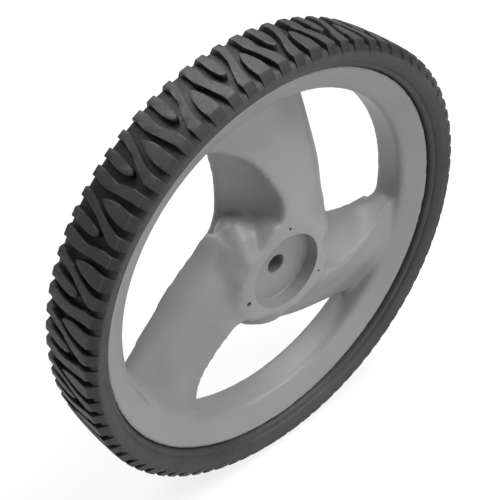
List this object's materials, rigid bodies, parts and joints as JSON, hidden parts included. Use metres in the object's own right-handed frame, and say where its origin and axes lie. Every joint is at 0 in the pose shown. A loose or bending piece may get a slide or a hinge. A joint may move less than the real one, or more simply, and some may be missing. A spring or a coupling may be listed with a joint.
{
  "type": "lawn mower wheel",
  "caption": "Spoked plastic mower wheel with a lugged rubber tyre, a recessed hub face and a plain axle bore.",
  "frame": {"origin": "on the axle line, at the middle of the tread's width", "axes": "+Y along the axle from the front face to the back, +Z along one spoke, upwards"},
  "size_m": [0.3048, 0.0493, 0.3048],
  "materials": {
    "hub_plastic": "satin moulded grey plastic",
    "tyre_rubber": "dull dark rubber"
  },
  "bodies": {
    "root": {"hub_and_rim": "hub_plastic", "tyre": "tyre_rubber"}
  },
  "joints": []
}
